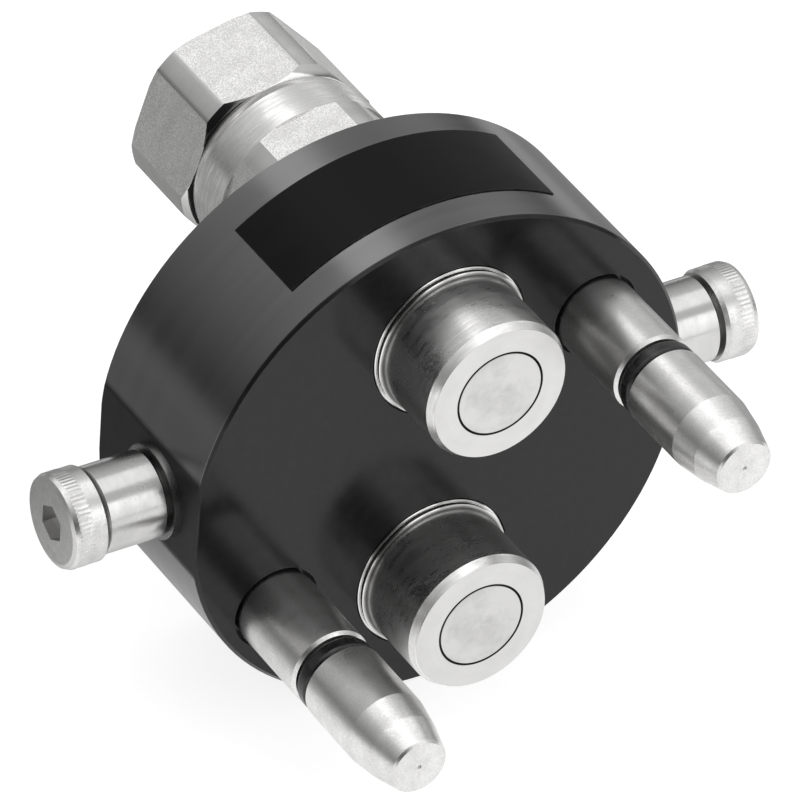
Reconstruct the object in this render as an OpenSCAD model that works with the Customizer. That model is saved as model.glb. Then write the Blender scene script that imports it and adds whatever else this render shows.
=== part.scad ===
// Movable half of a two-line hydraulic multi-coupler plate.
// A round plate carries two flat-face couplers, two guide pins and two roller screws.
// Millimetres. Y is the coupling axis: the mating face is at Y = 0 and looks towards -Y.

/* [Plate] */
// Radius of the round plate
plate_r = 40; // [39.5:0.1:42]
// Thickness of the plate along the coupling axis
plate_t = 27.4; // [26.5:0.1:30]
// Chamfer of the plate's two rims
plate_edge = 0.5; // [0.2:0.1:1.2]
// Distance of the two side flats from the axis
flat_x = 39.3; // [38:0.1:39.4]

/* [Coupler places] */
// Height of each coupler axis above or below the middle
coupler_z = 20.5; // [19.8:0.1:22]
// How far the hexagons are turned about the coupler axis
hex_turn = 13.4; // [0:0.1:59]

/* [Coupler body] */
// Radius of the nose that stands out of the plate
nose_r = 11.15; // [10.9:0.05:11.3]
// How far the flat face of the nose stands out of the plate
nose_h = 13.6; // [12.5:0.1:16]
// How much the bevel narrows the flat face all round
nose_edge = 0.65; // [0.3:0.05:1]
// Length of that bevel along the nose
nose_edge_l = 1.3; // [0.5:0.1:2]
// Radius of the shank inside the plate
shank_r = 11.5; // [11.4:0.1:11.8]
// Running clearance round a shank in its plate bore
shank_gap = 0.05; // [0.02:0.01:0.1]
// End play of the coupler body in the plate
body_play = 0.1; // [0.05:0.01:0.3]
// Width across the flats of both hexagons
hex_af = 29; // [28.5:0.1:29.5]
// How far the turned corners stand above the flats of both hexagons
corner_rise = 1.3; // [0.9:0.1:1.9]
// Length of the hexagon behind the plate
body_hex_l = 10.9; // [9:0.1:12]
// How far the turned collar behind that hexagon stands above its flats
collar_rise = 0.4; // [0.1:0.1:0.8]
// Length of the turned collar
collar_l = 7.7; // [6:0.1:10]
// How much the collar tapers in at its rear end
collar_edge = 0.4; // [0.2:0.1:0.8]
// Length of that taper
collar_edge_l = 1.4; // [0.5:0.1:2]

/* [Valve] */
// Radius of the flat-faced poppet
poppet_r = 6.7; // [6.5:0.05:6.9]
// Running clearance round the poppet and round its stem
poppet_gap = 0.05; // [0.02:0.01:0.1]
// Length of the narrow bore that the poppet closes
valve_land = 6; // [5.4:0.1:6.8]
// How far the poppet opens
poppet_travel = 7; // [5:0.5:8]
// Radius of the flow chamber behind the valve
chamber_r = 8.4; // [8.2:0.1:8.7]
// Radius of the poppet's stem
stem_r = 2.5; // [2:0.1:3]
// Radius of the poppet's stop flange
flange_r = 7.7; // [7.4:0.1:7.8]
// Chamfer on the edges of the poppet and its bore
valve_edge = 0.15; // [0.05:0.05:0.3]
// Wire diameter of the valve spring
wire_d = 1.1; // [0.9:0.1:1.3]
// Mean radius of the valve spring
spring_r = 5.3; // [4.9:0.1:5.7]
// Turns of the valve spring
spring_turns = 8; // [6:1:10]
// Room left between the turns when the poppet is open
spring_spare = 8.9; // [7:0.1:10]

/* [Port end] */
// Gap left between the collar and the port hexagon
neck_l = 0.2; // [0.1:0.1:1]
// Length of the port hexagon
port_hex_l = 16; // [15.5:0.1:22]
// Slope of the port hexagon's front chamfer, from the face
port_chamfer_turn = 44; // [20:1:50]
// Minor radius of the female hose thread
port_r = 9.3155; // [9:0.0005:9.7]
// Countersink radius at the mouth of the port
port_mouth_r = 10.6; // [10.2:0.1:11.5]
// Depth of the hose port
port_depth = 15.3; // [13:0.1:15.5]
// Radius of the threaded spigot inside the body
spigot_r = 12; // [11.8:0.1:12.4]
// Radius of the flow bore through the spigot
flow_r = 7; // [6:0.1:7.5]

/* [Snap ring] */
// Outer radius of the ring's front turn
ring_front_r = 11.85; // [11.6:0.05:12]
// Outer radius of the ring's rear turn
ring_rear_r = 12.1; // [12.05:0.05:12.4]
// Thickness of one turn
ring_turn_t = 0.8; // [0.6:0.1:1]
// Depth of the recess that the ring sits in
ring_recess = 0.8; // [0.5:0.1:1.2]
// Clearance round the ring in its recess
ring_gap = 0.25; // [0.2:0.05:0.6]

/* [Guide pins] */
// Sideways place of the left guide pin
left_pin_x = 25.6; // [25:0.1:26]
// How far the left guide pin stands below the middle
left_pin_z = 17.9; // [17.4:0.1:18.4]
// Sideways place of the right guide pin
right_pin_x = 24.2; // [23.6:0.1:26]
// How far the right guide pin stands above the middle
right_pin_z = 16.9; // [16.4:0.1:18]
// Radius of a guide pin
pin_r = 6.2; // [6:0.1:6.3]
// How far a guide pin stands out of the plate
pin_h = 39.2; // [36:0.1:48]
// Distance from the plate to the rubber ring's groove
pin_base_l = 15.3; // [12:0.1:18]
// Width of the groove
pin_groove_w = 3.4; // [3:0.1:4.5]
// Depth of the groove
pin_groove_d = 1.8; // [1.2:0.1:2.2]
// How far the rubber ring stays below the pin's surface
pin_ring_sink = 0.1; // [0.02:0.02:0.3]
// Length of the two tapers in front of the pin
pin_taper_l = 9; // [7:0.1:12]
// Length of the front one, which is the steeper
pin_tip_l = 4.5; // [3:0.1:6]
// Radius where the two tapers meet
pin_mid_r = 5.5; // [5:0.1:5.8]
// Radius at the end of the pin, before its edge is broken
pin_tip_r = 4.4; // [3.5:0.1:4.8]
// Depth of the pin's seat in the plate
pin_seat = 15; // [12:0.1:15.5]

/* [Rollers] */
// Distance of the roller axis behind the mating face
roller_y = 11.2; // [10.5:0.1:12.5]
// Radius of the roller sleeves
sleeve_r = 6.4; // [6:0.1:6.6]
// Length of the roller sleeves
sleeve_l = 9.3; // [8:0.1:9.6]
// Radius of the shoulder that the sleeve turns on
shoulder_r = 4; // [3.5:0.1:4.5]
// Running clearance of the sleeve on its shoulder
sleeve_gap = 0.05; // [0.02:0.01:0.1]
// Length of the shoulder
shoulder_l = 12; // [12:0.1:14]
// How deep the shoulder is seated below the flat
shoulder_seat = 0.8; // [0.3:0.1:1]
// Radius of the knurled head
head_r = 7; // [6.6:0.1:7.4]
// Height of the knurled head
head_h = 5.7; // [5:0.1:6.5]
// Width across the flats of the socket in the head
socket_af = 5; // [4:0.5:6]
// Radius of the washer on the flat
washer_r = 7; // [6.5:0.1:7.2]
// Thickness of the washer
washer_t = 1.2; // [0.8:0.1:1.3]

/* [Label] */
// Angle of the label's left end, counted from +X over the top
label_left_angle = 124.9; // [115:0.1:130]
// Angle of the label's right end
label_right_angle = 60.1; // [50:0.1:70]
// Distance of the label's front edge from the mating face
label_y = 6.2; // [3:0.1:8]
// Width of the label along the coupling axis
label_w = 15.6; // [10:0.1:17]
// Thickness of the label
label_t = 0.15; // [0.1:0.05:0.3]
// How far the label is stuck on askew, in degrees
label_skew = 1.5; // [0:0.1:3]

/* [Hidden] */
$fn = 96;
cut = 1;

// clearance between pieces of one body that only sit in each other
seat_gap = 0.02;

// coupler body along Y
nose_y = -nose_h;
ring_y1 = ring_recess - 0.1;
ring_y0 = ring_y1 - 2 * ring_turn_t;
ring_groove_r = 10;
ring_inner_r = ring_groove_r + seat_gap;
groove_y0 = ring_y0 - seat_gap;
groove_y1 = ring_y1 + seat_gap;
bore_r = shank_r + shank_gap;
hex_corner_r = hex_af / 2 + corner_rise;
collar_r = hex_af / 2 + collar_rise;
hex_y0 = plate_t + body_play;
hex_y1 = hex_y0 + body_hex_l;
collar_y1 = hex_y1 + collar_l;
bore_edge = 0.5;

// rubber ring round the shank
body_ring_w = 2.4;
body_ring_d = 1.3;
body_ring_y = plate_t / 2 - body_ring_w / 2;

// inside of the body
land_r = poppet_r + poppet_gap;
land_y = nose_y + valve_land;
cone_y = land_y + chamber_r - land_r;
guide_t = 2.2;
guide_r = 10.2;
guide_y0 = plate_t - 0.4;
guide_y1 = guide_y0 + guide_t;
spigot_tip_r = 11;
spigot_tip_l = 5.2;
thread_y = guide_y1 + spigot_tip_l + 0.8;

// poppet
poppet_seat_gap = 0.06;
flange_t = 1.4;
flange_y = land_y + poppet_seat_gap + flange_r - poppet_r;
flange_back = flange_y + flange_t;
seal_w = 1.8;
seal_groove_d = 1.5;
seal_y = nose_y + 2.2;
hub_r = 4.1;
hub_front = flange_back + poppet_travel + spring_turns * wire_d + spring_spare;
collar_seat_t = 1.2;
collar_seat_r = 6.4;
stem_end = guide_y1 + 1;
guide_arms = 3;
guide_arm_w = 3;

// spring between the poppet's flange and the guide's seat
end_gap = 0.05;
spring_y0 = flange_back + end_gap + wire_d / 2;
spring_y1 = hub_front - end_gap - wire_d / 2;
end_turn = 0.6;
coil_steps = 14;
coil_sides = 8;
coil_count = spring_turns * coil_steps;

// port end along Y
port_hex_y0 = collar_y1 + neck_l;
port_hex_y1 = port_hex_y0 + port_hex_l;
neck_r = spigot_r - 0.6;
port_floor = port_hex_y1 - port_depth;
seal_groove_y = guide_y1 + 1;
port_seal_w = 1.8;
port_seal_d = 1.4;
backup_t = 0.9;
hex_chamfer = 0.9;
port_chamfer_l = corner_rise * tan(port_chamfer_turn);

// guide pin along Y
pin_relief = 0.3;
pin_relief_r = pin_r - 0.3;
pin_step_y = 2;
pin_shank_r = pin_r - 1;
pin_recess_r = pin_r + 0.5;
pin_edge = 0.45;
pin_tip_edge = 0.35;
pin_groove_y = -pin_base_l - pin_groove_w;
pin_groove_r = pin_r - pin_groove_d;
pin_taper_y = -pin_h + pin_taper_l;
dot_r = 0.35;
dot_d = 0.5;

// screw that holds a guide pin from behind
pin_screw_r = 3;
pin_screw_head_r = 5;
pin_screw_head_h = 6;
pin_screw_l = 12;
pin_screw_recess_r = 5.6;
lock_t = 1.5;
lock_r = 4.9;
lock_slit = 0.8;
web_t = 3.2;
web_y = pin_seat + web_t;

// roller screws along X
seat_x = flat_x - shoulder_seat;
head_x = seat_x + shoulder_l;
head_end = head_x + head_h;
head_edge = 0.95;
head_back_edge = 0.4;
roller_thread_r = 3;
roller_thread_l = 11;
socket_d = 2.8;
left_sleeve_x = head_x - 0.1 - sleeve_l;
right_sleeve_x = flat_x + washer_t + 0.05;

// turns a profile of [radius, Y] points about the Y axis
module turn_y(points) {
  rotate([-90, 0, 0])
    rotate_extrude()
      polygon(points);
}

// a round bar along Y from y0 to y1
module bar_y(r, y0, y1) {
  translate([0, y0, 0])
    rotate([-90, 0, 0])
      cylinder(r = r, h = y1 - y0);
}

// a round bar along X from x0 to x1
module bar_x(r, x0, x1) {
  translate([x0, 0, 0])
    rotate([0, 90, 0])
      cylinder(r = r, h = x1 - x0);
}

// a hexagonal bar along Y whose corners point at hex_turn and every sixty degrees
module hex_y(af, y0, y1) {
  translate([0, y0, 0])
    rotate([-90, 0, 0])
      rotate([0, 0, -hex_turn])
        cylinder(r = af / sqrt(3), h = y1 - y0, $fn = 6);
}

// a ring with rounded outer edges, such as a rubber ring pressed into its groove
module soft_ring(r_in, r_out, y0, y1) {
  round_r = min(y1 - y0, r_out - r_in) * 0.45;
  rotate([-90, 0, 0])
    rotate_extrude()
      union() {
        translate([r_in, y0])
          square([r_out - round_r - r_in, y1 - y0]);
        translate([r_in, y0 + round_r])
          square([r_out - r_in, y1 - y0 - 2 * round_r]);
        translate([r_out - round_r, y0 + round_r])
          circle(r = round_r, $fn = 32);
        translate([r_out - round_r, y1 - round_r])
          circle(r = round_r, $fn = 32);
      }
}

module at_upper() {
  translate([0, 0, coupler_z])
    children();
}

module at_lower() {
  translate([0, 0, -coupler_z])
    children();
}

// the guide pins aren't quite opposite each other, so that the halves close one way round only
module at_left_pin() {
  translate([-left_pin_x, 0, -left_pin_z])
    children();
}

module at_right_pin() {
  translate([right_pin_x, 0, right_pin_z])
    children();
}

module at_both_pins() {
  at_left_pin()
    children();
  at_right_pin()
    children();
}

// the left roller is the right one turned half a turn about the vertical
module at_right_roller() {
  translate([0, roller_y, 0])
    children();
}

module at_left_roller() {
  translate([0, roller_y, 0])
    mirror([1, 0, 0])
      children();
}

module at_both_rollers() {
  at_left_roller()
    children();
  at_right_roller()
    children();
}

module plate_blank() {
  intersection() {
    turn_y([
      [0, 0], [plate_r - plate_edge, 0], [plate_r, plate_edge],
      [plate_r, plate_t - plate_edge], [plate_r - plate_edge, plate_t], [0, plate_t]
    ]);
    translate([-flat_x, -cut, -plate_r - cut])
      cube([2 * flat_x, plate_t + 2 * cut, 2 * (plate_r + cut)]);
  }
}

// plain bore for a coupler with the snap ring's recess in front
module coupler_bore_cut() {
  bar_y(bore_r, -cut, plate_t + cut);
  bar_y(ring_rear_r + ring_gap, -cut, ring_recess);
  turn_y([
    [0, plate_t - bore_edge], [bore_r, plate_t - bore_edge],
    [bore_r + bore_edge + cut, plate_t + cut], [0, plate_t + cut]
  ]);
}

// seat of a guide pin from the front, screw recess from the rear
module pin_seat_cut() {
  bar_y(pin_recess_r, -cut, pin_step_y);
  bar_y(pin_shank_r + seat_gap, 0, pin_seat + seat_gap);
  bar_y(pin_screw_r + 0.3, pin_seat, web_y + cut);
  bar_y(pin_screw_recess_r, web_y, plate_t + cut);
}

// hole for the shoulder and the thread of a roller screw
module roller_screw_cut() {
  bar_x(shoulder_r + seat_gap, seat_x, plate_r + cut);
  bar_x(roller_thread_r + seat_gap, seat_x - roller_thread_l - 1, seat_x + cut);
}

module plate() {
  color("dimgray")
    difference() {
      plate_blank();
      at_upper()
        coupler_bore_cut();
      at_lower()
        coupler_bore_cut();
      at_both_pins()
        pin_seat_cut();
      at_both_rollers()
        roller_screw_cut();
    }
}

module label() {
  color("black")
    intersection() {
      difference() {
        bar_y(plate_r + label_t, cut, plate_t - cut);
        bar_y(plate_r, 0, plate_t);
      }
      translate([0, label_y + label_w / 2, 0])
        rotate([0, 0, label_skew])
          translate([-plate_r, -label_w / 2, 0])
            cube([2 * plate_r, label_w, plate_r + cut]);
      translate([0, plate_t, 0])
        rotate([90, 0, 0])
          linear_extrude(height = plate_t)
            polygon([[0, 0], ray(label_right_angle), ray(90), ray(label_left_angle)]);
    }
}

// a point well outside the drum at an angle counted from +X over the top
function ray(a) = 2 * plate_r * [cos(a), sin(a)];

// outer turned form of the body: nose, ring groove, shank, rubber ring groove
module body_turned() {
  turn_y([
    [0, nose_y], [nose_r - nose_edge, nose_y], [nose_r, nose_y + nose_edge_l],
    [nose_r, groove_y0], [ring_groove_r, groove_y0], [ring_groove_r, groove_y1],
    [shank_r - 0.3, groove_y1], [shank_r, groove_y1 + 0.3],
    [shank_r, body_ring_y], [shank_r - body_ring_d, body_ring_y],
    [shank_r - body_ring_d, body_ring_y + body_ring_w], [shank_r, body_ring_y + body_ring_w],
    [shank_r, hex_y0 + cut], [0, hex_y0 + cut]
  ]);
}

// hexagon with turned corners and the collar behind it
module body_hex() {
  intersection() {
    hex_y(hex_af, hex_y0, hex_y1);
    turn_y([
      [0, hex_y0], [hex_corner_r - 0.6, hex_y0], [hex_corner_r, hex_y0 + 0.6],
      [hex_corner_r, hex_y1 - (hex_corner_r - collar_r)], [collar_r, hex_y1], [0, hex_y1]
    ]);
  }
  turn_y([
    [0, hex_y1 - cut], [collar_r - 1, hex_y1 - cut], [collar_r - 1, hex_y1], [collar_r, hex_y1],
    [collar_r, collar_y1 - collar_edge_l], [collar_r - collar_edge, collar_y1], [0, collar_y1]
  ]);
}

// everything bored out of the body: valve land, chamber, guide seat, spigot bore
module body_bores() {
  turn_y([
    [0, nose_y - cut], [land_r + valve_edge + cut, nose_y - cut], [land_r, nose_y + valve_edge],
    [land_r, land_y], [chamber_r, cone_y],
    [chamber_r, guide_y0], [guide_r + seat_gap, guide_y0], [guide_r + seat_gap, guide_y1],
    [spigot_tip_r + seat_gap, guide_y1], [spigot_tip_r + seat_gap, thread_y],
    [spigot_r + seat_gap, thread_y + 1], [spigot_r + seat_gap, collar_y1 - 0.6],
    [spigot_r + 0.6 + cut, collar_y1 + cut], [0, collar_y1 + cut]
  ]);
}

module coupler_body() {
  color("silver")
    difference() {
      union() {
        body_turned();
        body_hex();
      }
      body_bores();
    }
}

// hexagon of the port end with both ends turned
module port_hex() {
  intersection() {
    hex_y(hex_af, port_hex_y0, port_hex_y1);
    turn_y([
      [0, port_hex_y0], [hex_af / 2, port_hex_y0], [hex_corner_r, port_hex_y0 + port_chamfer_l],
      [hex_corner_r, port_hex_y1 - 0.5], [hex_corner_r - hex_chamfer, port_hex_y1], [0, port_hex_y1]
    ]);
  }
}

module port_end() {
  color("gainsboro")
    difference() {
      union() {
        port_hex();
        turn_y([
          [0, guide_y1], [spigot_tip_r - 0.4, guide_y1], [spigot_tip_r, guide_y1 + 0.4],
          [spigot_tip_r, seal_groove_y], [spigot_tip_r - port_seal_d, seal_groove_y],
          [spigot_tip_r - port_seal_d, seal_groove_y + port_seal_w + backup_t],
          [spigot_tip_r, seal_groove_y + port_seal_w + backup_t],
          [spigot_tip_r, thread_y + 0.1], [spigot_r, thread_y + 1.1],
          [spigot_r, collar_y1 - 0.6], [neck_r, collar_y1], [neck_r, port_hex_y0 + cut], [0, port_hex_y0 + cut]
        ]);
      }
      bar_y(flow_r, guide_y1 - cut, port_floor + cut);
      turn_y([
        [0, port_floor], [flow_r, port_floor], [port_r, port_floor + 0.8],
        [port_r, port_hex_y1 - (port_mouth_r - port_r)],
        [port_mouth_r + cut, port_hex_y1 + cut], [0, port_hex_y1 + cut]
      ]);
    }
}

// flat-faced valve: head with seal groove, stop flange with cone, long stem
module poppet() {
  color("silver")
    turn_y([
      [0, nose_y], [poppet_r - valve_edge, nose_y], [poppet_r, nose_y + valve_edge],
      [poppet_r, seal_y], [poppet_r - seal_groove_d, seal_y],
      [poppet_r - seal_groove_d, seal_y + seal_w], [poppet_r, seal_y + seal_w],
      [poppet_r, land_y + poppet_seat_gap], [flange_r, flange_y],
      [flange_r, flange_back], [hub_r, flange_back], [hub_r, flange_back + 2.5],
      [stem_r, flange_back + 2.5 + hub_r - stem_r], [stem_r, stem_end - 0.5],
      [stem_r - 0.5, stem_end], [0, stem_end]
    ]);
}

module poppet_seal() {
  color("black")
    soft_ring(poppet_r - seal_groove_d + seat_gap, land_r - 0.01, seal_y + seat_gap, seal_y + seal_w - seat_gap);
}

// spider with three arms, a tube for the stem and a seat for the spring
module spring_guide() {
  color("darkgray")
    difference() {
      union() {
        bar_y(guide_r, guide_y0 + seat_gap, guide_y1 - seat_gap);
        bar_y(hub_r, hub_front, guide_y1 - seat_gap);
        bar_y(collar_seat_r, hub_front, hub_front + collar_seat_t);
      }
      bar_y(stem_r + poppet_gap, hub_front - cut, guide_y1 + cut);
      for (i = [0 : guide_arms - 1])
        rotate([0, i * 360 / guide_arms, 0])
          intersection() {
            difference() {
              bar_y(chamber_r - 0.6, guide_y0 - cut, guide_y1 + cut);
              bar_y(hub_r, guide_y0 - 2 * cut, guide_y1 + 2 * cut);
            }
            guide_window();
          }
    }
}

// the wedge of one flow window, with sides parallel to the arms beside it
module guide_window() {
  half = 180 / guide_arms;
  tip = guide_arm_w / 2 / sin(half);
  reach = chamber_r;
  translate([0, guide_y0 - cut, 0])
    rotate([-90, 0, 0])
      linear_extrude(height = guide_t + 2 * cut)
        polygon([[tip, 0], [tip + reach, reach * tan(half)], [tip + reach, -reach * tan(half)]]);
}

module port_o_ring() {
  color("black")
    soft_ring(spigot_tip_r - port_seal_d + seat_gap, spigot_tip_r + seat_gap / 2,
      seal_groove_y + seat_gap, seal_groove_y + port_seal_w - seat_gap);
}

module backup_ring() {
  color("wheat")
    difference() {
      bar_y(spigot_tip_r, seal_groove_y + port_seal_w, seal_groove_y + port_seal_w + backup_t - seat_gap);
      bar_y(spigot_tip_r - port_seal_d + seat_gap, seal_groove_y, seal_groove_y + port_seal_w + backup_t + cut);
    }
}

module body_ring() {
  color("black")
    soft_ring(shank_r - body_ring_d + seat_gap, shank_r + shank_gap - 0.03,
      body_ring_y + seat_gap, body_ring_y + body_ring_w - seat_gap);
}

// two turns of flat wire, the rear one a little larger
module snap_ring() {
  color("lightgray")
    turn_y([
      [ring_inner_r, ring_y0], [ring_front_r - 0.12, ring_y0], [ring_front_r, ring_y0 + 0.12],
      [ring_front_r, ring_y0 + ring_turn_t - 0.12], [ring_front_r - 0.15, ring_y0 + ring_turn_t],
      [ring_rear_r - 0.12, ring_y0 + ring_turn_t], [ring_rear_r, ring_y0 + ring_turn_t + 0.12],
      [ring_rear_r, ring_y1], [ring_inner_r, ring_y1]
    ]);
}

// points of one round of the coil at turn angle a
function coil_point(a, y, b) = [
  (spring_r + wire_d / 2 * cos(b)) * cos(a),
  y + wire_d / 2 * sin(b),
  (spring_r + wire_d / 2 * cos(b)) * sin(a)
];

// height of the wire at step i: closed end turns, even pitch between
function coil_y(i) =
  let (t = (i / coil_steps - end_turn) / (spring_turns - 2 * end_turn))
  spring_y0 + (spring_y1 - spring_y0) * max(0, min(1, t));

module valve_spring() {
  rings = [for (i = [0 : coil_count]) for (j = [0 : coil_sides - 1])
    coil_point(i * 360 / coil_steps, coil_y(i), j * 360 / coil_sides)];
  sides = [for (i = [0 : coil_count - 1]) for (j = [0 : coil_sides - 1])
    let (a = i * coil_sides + j, b = i * coil_sides + (j + 1) % coil_sides)
    [a, b, b + coil_sides, a + coil_sides]];
  first = [[for (j = [0 : coil_sides - 1]) coil_sides - 1 - j]];
  last = [[for (j = [0 : coil_sides - 1]) coil_count * coil_sides + j]];
  color("gray")
    polyhedron(points = rings, faces = concat(sides, first, last));
}

// guide pin with seat, ring groove and two tapers towards its tip
module guide_pin() {
  color("silver")
    difference() {
      turn_y([
        [0, -pin_h], [pin_tip_r - pin_tip_edge, -pin_h], [pin_tip_r, -pin_h + pin_tip_edge],
        [pin_mid_r, -pin_h + pin_tip_l], [pin_r, pin_taper_y],
        [pin_r, pin_groove_y], [pin_groove_r, pin_groove_y], [pin_groove_r, -pin_base_l],
        [pin_r - pin_edge, -pin_base_l], [pin_r, -pin_base_l + pin_edge],
        [pin_r, -pin_relief], [pin_relief_r, -pin_relief], [pin_relief_r, pin_step_y],
        [pin_shank_r, pin_step_y], [pin_shank_r, pin_seat - 0.5], [pin_shank_r - 0.5, pin_seat], [0, pin_seat]
      ]);
      bar_y(pin_screw_r + seat_gap, web_y + lock_t - pin_screw_l - 1, pin_seat + cut);
      turn_y([[0, -pin_h - cut], [dot_r, -pin_h - cut], [dot_r, -pin_h], [0, -pin_h + dot_d]]);
    }
}

module guide_pin_ring() {
  soft_ring(pin_groove_r + seat_gap, pin_r - pin_ring_sink, pin_groove_y + 0.3, -pin_base_l - 0.5);
}

module pin_screw() {
  difference() {
    union() {
      bar_y(pin_screw_r, web_y + lock_t - pin_screw_l, web_y + lock_t + cut);
      turn_y([
        [0, web_y + lock_t], [pin_screw_head_r, web_y + lock_t],
        [pin_screw_head_r, web_y + lock_t + pin_screw_head_h - 0.6],
        [pin_screw_head_r - 0.6, web_y + lock_t + pin_screw_head_h], [0, web_y + lock_t + pin_screw_head_h]
      ]);
    }
    hex_y(5, web_y + lock_t + pin_screw_head_h - 3, web_y + lock_t + pin_screw_head_h + cut);
  }
}

module pin_lock_washer() {
  difference() {
    bar_y(lock_r, web_y, web_y + lock_t);
    bar_y(pin_screw_r + 0.1, web_y - cut, web_y + lock_t + cut);
    translate([0, web_y + lock_t / 2, 0])
      rotate([0, 0, 20])
        translate([-lock_slit / 2, -2 * lock_t, 0])
          cube([lock_slit, 4 * lock_t, lock_r + cut]);
  }
}

// shoulder screw with a socket head, along +X
module roller_screw() {
  difference() {
    rotate([0, 90, 0])
      rotate_extrude()
        polygon([
          [0, seat_x - roller_thread_l], [roller_thread_r - 0.6, seat_x - roller_thread_l],
          [roller_thread_r, seat_x - roller_thread_l + 0.6], [roller_thread_r, seat_x],
          [shoulder_r, seat_x], [shoulder_r, head_x],
          [head_r - head_back_edge, head_x], [head_r, head_x + 1.5 * head_back_edge], [head_r, head_end - head_edge],
          [head_r - 0.29 * head_edge, head_end - 0.29 * head_edge],
          [head_r - head_edge, head_end], [0, head_end]
        ]);
    translate([head_end - socket_d, 0, 0])
      rotate([0, 90, 0])
        cylinder(r = socket_af / sqrt(3), h = socket_d + cut, $fn = 6);
  }
}

// roller sleeve with broken edges, from x0
module sleeve(x0) {
  edge = 0.3;
  rotate([0, 90, 0])
    rotate_extrude()
      polygon([
        [shoulder_r + sleeve_gap, x0], [sleeve_r - edge, x0], [sleeve_r, x0 + edge],
        [sleeve_r, x0 + sleeve_l - edge], [sleeve_r - edge, x0 + sleeve_l],
        [shoulder_r + sleeve_gap, x0 + sleeve_l]
      ]);
}

module upper_coupler_body() { at_upper() coupler_body(); }
module lower_coupler_body() { at_lower() coupler_body(); }
module upper_port_end() { at_upper() port_end(); }
module lower_port_end() { at_lower() port_end(); }
module upper_poppet() { at_upper() poppet(); }
module lower_poppet() { at_lower() poppet(); }
module upper_poppet_seal() { at_upper() poppet_seal(); }
module lower_poppet_seal() { at_lower() poppet_seal(); }
module upper_valve_spring() { at_upper() valve_spring(); }
module lower_valve_spring() { at_lower() valve_spring(); }
module upper_spring_guide() { at_upper() spring_guide(); }
module lower_spring_guide() { at_lower() spring_guide(); }
module upper_port_o_ring() { at_upper() port_o_ring(); }
module lower_port_o_ring() { at_lower() port_o_ring(); }
module upper_backup_ring() { at_upper() backup_ring(); }
module lower_backup_ring() { at_lower() backup_ring(); }
module upper_body_ring() { at_upper() body_ring(); }
module lower_body_ring() { at_lower() body_ring(); }
module upper_snap_ring() { at_upper() snap_ring(); }
module lower_snap_ring() { at_lower() snap_ring(); }
module left_guide_pin() { at_left_pin() guide_pin(); }
module right_guide_pin() { at_right_pin() guide_pin(); }

module guide_pin_rings() {
  color("black")
    at_both_pins()
      guide_pin_ring();
}

module pin_screws() {
  color("dimgray")
    at_both_pins()
      pin_screw();
}

module pin_lock_washers() {
  color("gray")
    at_both_pins()
      pin_lock_washer();
}

module roller_screws() {
  color("lightgray")
    at_both_rollers()
      roller_screw();
}

module left_roller() {
  color("gainsboro")
    at_left_roller()
      sleeve(left_sleeve_x);
}

module right_roller() {
  color("gainsboro")
    at_right_roller()
      sleeve(right_sleeve_x);
}

module roller_washers() {
  color("silver")
    at_both_rollers()
      difference() {
        bar_x(washer_r, flat_x, flat_x + washer_t);
        bar_x(shoulder_r + 0.1, flat_x - cut, flat_x + washer_t + cut);
      }
}

plate();
label();
upper_coupler_body();
lower_coupler_body();
upper_port_end();
lower_port_end();
upper_poppet();
lower_poppet();
upper_poppet_seal();
lower_poppet_seal();
upper_valve_spring();
lower_valve_spring();
upper_spring_guide();
lower_spring_guide();
upper_port_o_ring();
lower_port_o_ring();
upper_backup_ring();
lower_backup_ring();
upper_body_ring();
lower_body_ring();
upper_snap_ring();
lower_snap_ring();
left_guide_pin();
right_guide_pin();
guide_pin_rings();
pin_screws();
pin_lock_washers();
roller_screws();
left_roller();
right_roller();
roller_washers();
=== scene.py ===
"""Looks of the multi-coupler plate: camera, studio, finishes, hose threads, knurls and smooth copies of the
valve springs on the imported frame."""

import math

import bmesh
import bpy
from mathutils import Euler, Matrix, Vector


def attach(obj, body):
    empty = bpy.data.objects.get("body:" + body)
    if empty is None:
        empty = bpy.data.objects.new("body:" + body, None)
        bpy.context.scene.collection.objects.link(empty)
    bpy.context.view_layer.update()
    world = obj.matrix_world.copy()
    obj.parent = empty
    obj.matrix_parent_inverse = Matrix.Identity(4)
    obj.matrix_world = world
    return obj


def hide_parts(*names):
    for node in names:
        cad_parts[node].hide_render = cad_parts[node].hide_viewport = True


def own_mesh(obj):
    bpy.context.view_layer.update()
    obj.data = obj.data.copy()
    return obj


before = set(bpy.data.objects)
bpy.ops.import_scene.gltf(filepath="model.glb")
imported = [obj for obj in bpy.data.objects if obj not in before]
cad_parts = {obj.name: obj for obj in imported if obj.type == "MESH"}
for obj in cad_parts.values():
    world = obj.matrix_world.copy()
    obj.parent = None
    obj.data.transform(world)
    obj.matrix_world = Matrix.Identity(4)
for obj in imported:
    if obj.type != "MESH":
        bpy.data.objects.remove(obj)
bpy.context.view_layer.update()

# Sizes of the solids that the finishes and the added detail line up with, in metres.
COUPLER_Z = 0.0205
NOSE_FACE_Y = -0.0136
HEX_START_Y = 0.0275
COLLAR_START_Y = 0.0384
POPPET_GAP_R = 0.00674
RING_FACE_R = 0.01185
LEFT_PIN = (-0.0256, 0.0, -0.0179)
RIGHT_PIN = (0.0242, 0.0, 0.0169)
ROLLER_Y = 0.0112
PLATE_R = 0.040
PLATE_T = 0.0274
PLATE_EDGE = 0.0005
FLAT_X = 0.0393
LOWEST_Z = -0.040
HEAD_R = 0.007
KNURL_MIDDLE_X = 0.0542
HEX_HALF = 0.0145
HEX_CORNER_R = 0.0158
PORT_HEX_START_Y = 0.0463
CHAMFER_SLOPE = 0.9657
PORT_MINOR_R = 0.0093155
PORT_MAJOR_R = 0.0104775
PORT_MOUTH_R = 0.0106
PORT_WALL_START_Y = 0.0478
PORT_END_Y = 0.0623
THREAD_PITCH = 0.0018143

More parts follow.
